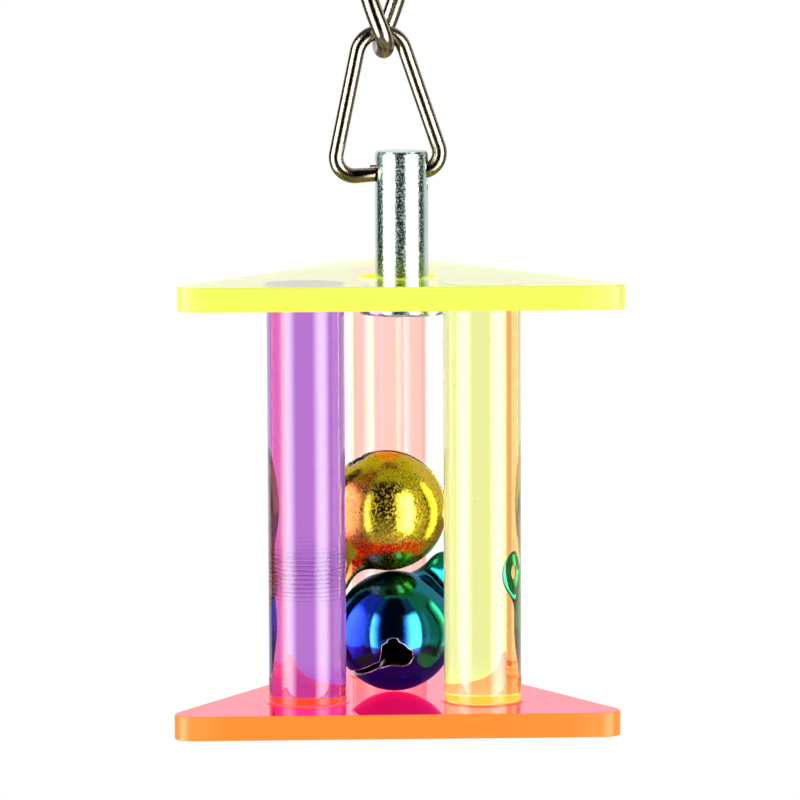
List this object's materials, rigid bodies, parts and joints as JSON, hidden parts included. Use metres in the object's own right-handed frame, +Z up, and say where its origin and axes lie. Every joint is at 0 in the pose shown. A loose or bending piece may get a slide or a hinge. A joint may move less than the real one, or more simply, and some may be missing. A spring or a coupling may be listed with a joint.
{
  "type": "bird bell toy",
  "caption": "Hanging bird toy: loose jingle bells trapped between clear acrylic rods and triangular acrylic plates, turning on a headed pin under a wire link and a twisted chain.",
  "frame": {"origin": "inside top of the quick link, the point the toy hangs from", "axes": "+Z up along the chain, X along the plates' front edge to the right, Y from the front edge towards the back rod"},
  "size_m": [0.0546, 0.0491, 0.137],
  "materials": {
    "yellow_sheet": "fluorescent yellow-green cast acrylic with polished faces and bright edges",
    "pink_sheet": "fluorescent pink-orange cast acrylic with polished faces and bright edges",
    "purple_acrylic": "clear tinted acrylic rod, polished, with fine scratches",
    "yellow_acrylic": "clear tinted acrylic rod, polished",
    "pink_acrylic": "clear tinted acrylic rod, polished",
    "cement": "dried solvent cement film",
    "zinc": "bright zinc plate over turned steel, slightly grainy",
    "nickel": "nickel-plated wire",
    "steel": "zinc-plated wire",
    "gold_plate": "bright gold plating with a fine grain",
    "blue_plate": "bright blue metallic plating",
    "pea_steel": "plain steel ball"
  },
  "bodies": {
    "quick_link": {"quick_link": "steel"},
    "sleeve": {"quick_link_sleeve": "steel"},
    "chain_3": {"chain_link_3": "nickel"},
    "chain_2": {"chain_link_2": "nickel"},
    "chain_1": {"chain_link_1": "nickel"},
    "triangle": {"triangle_link": "nickel"},
    "pin": {"hanger_pin": "zinc"},
    "cage": {"top_plate": "yellow_sheet", "bottom_plate": "pink_sheet", "purple_rod": "purple_acrylic", "yellow_rod": "yellow_acrylic", "pink_rod": "pink_acrylic", "top_cement": "cement", "bottom_cement": "cement"},
    "blue_bell": {"blue_bell_dome": "blue_plate", "blue_bell_cup": "blue_plate"},
    "blue_pea": {"blue_bell_pea": "pea_steel"},
    "gold_bell": {"gold_bell_dome": "gold_plate", "gold_bell_cup": "gold_plate"},
    "gold_pea": {"gold_bell_pea": "pea_steel"}
  },
  "joints": [
    {"name": "sleeve_slide", "type": "slide", "parent": "quick_link", "child": "sleeve", "axis": [0, 0, 1], "range_m": [0, 0.006]},
    {"name": "chain_3_swing", "type": "hinge", "parent": "quick_link", "child": "chain_3", "pos_m": [0, 0, -0.02515], "axis": [-0.2079, 0.9781, 0], "range_deg": [-30, 30]},
    {"name": "chain_2_swing", "type": "hinge", "parent": "chain_3", "child": "chain_2", "pos_m": [0, 0, -0.03166], "axis": [0.9781, 0.2079, 0], "range_deg": [-30, 30]},
    {"name": "chain_1_swing", "type": "hinge", "parent": "chain_2", "child": "chain_1", "pos_m": [0, 0, -0.04286], "axis": [-0.2079, 0.9781, 0], "range_deg": [-30, 30]},
    {"name": "triangle_swing", "type": "hinge", "parent": "chain_1", "child": "triangle", "pos_m": [0, 0, -0.05174], "axis": [-0.2079, 0.9781, 0], "range_deg": [-35, 35]},
    {"name": "pin_swing", "type": "hinge", "parent": "triangle", "child": "pin", "pos_m": [0.00218, 0, -0.0669], "axis": [0.998, 0, 0.0624], "range_deg": [-40, 40]},
    {"name": "cage_turn", "type": "hinge", "parent": "pin", "child": "cage", "pos_m": [0.00218, 0, -0.07975], "axis": [0, 0, 1], "continuous": true},
    {"name": "blue_bell_bounce", "type": "slide", "parent": "cage", "child": "blue_bell", "axis": [0, 0, 1], "range_m": [0, 0.0084]},
    {"name": "gold_bell_bounce", "type": "slide", "parent": "blue_bell", "child": "gold_bell", "axis": [0, 0, 1], "range_m": [0, 0.0084]},
    {"name": "blue_pea_roll", "type": "hinge", "parent": "blue_bell", "child": "blue_pea", "pos_m": [0.00112, 0.00039, -0.12403], "axis": [1, 0, 0], "range_deg": [-70, 70]},
    {"name": "gold_pea_roll", "type": "hinge", "parent": "gold_bell", "child": "gold_pea", "pos_m": [0.00013, 0.00073, -0.10895], "axis": [1, 0, 0], "range_deg": [-70, 70]}
  ]
}
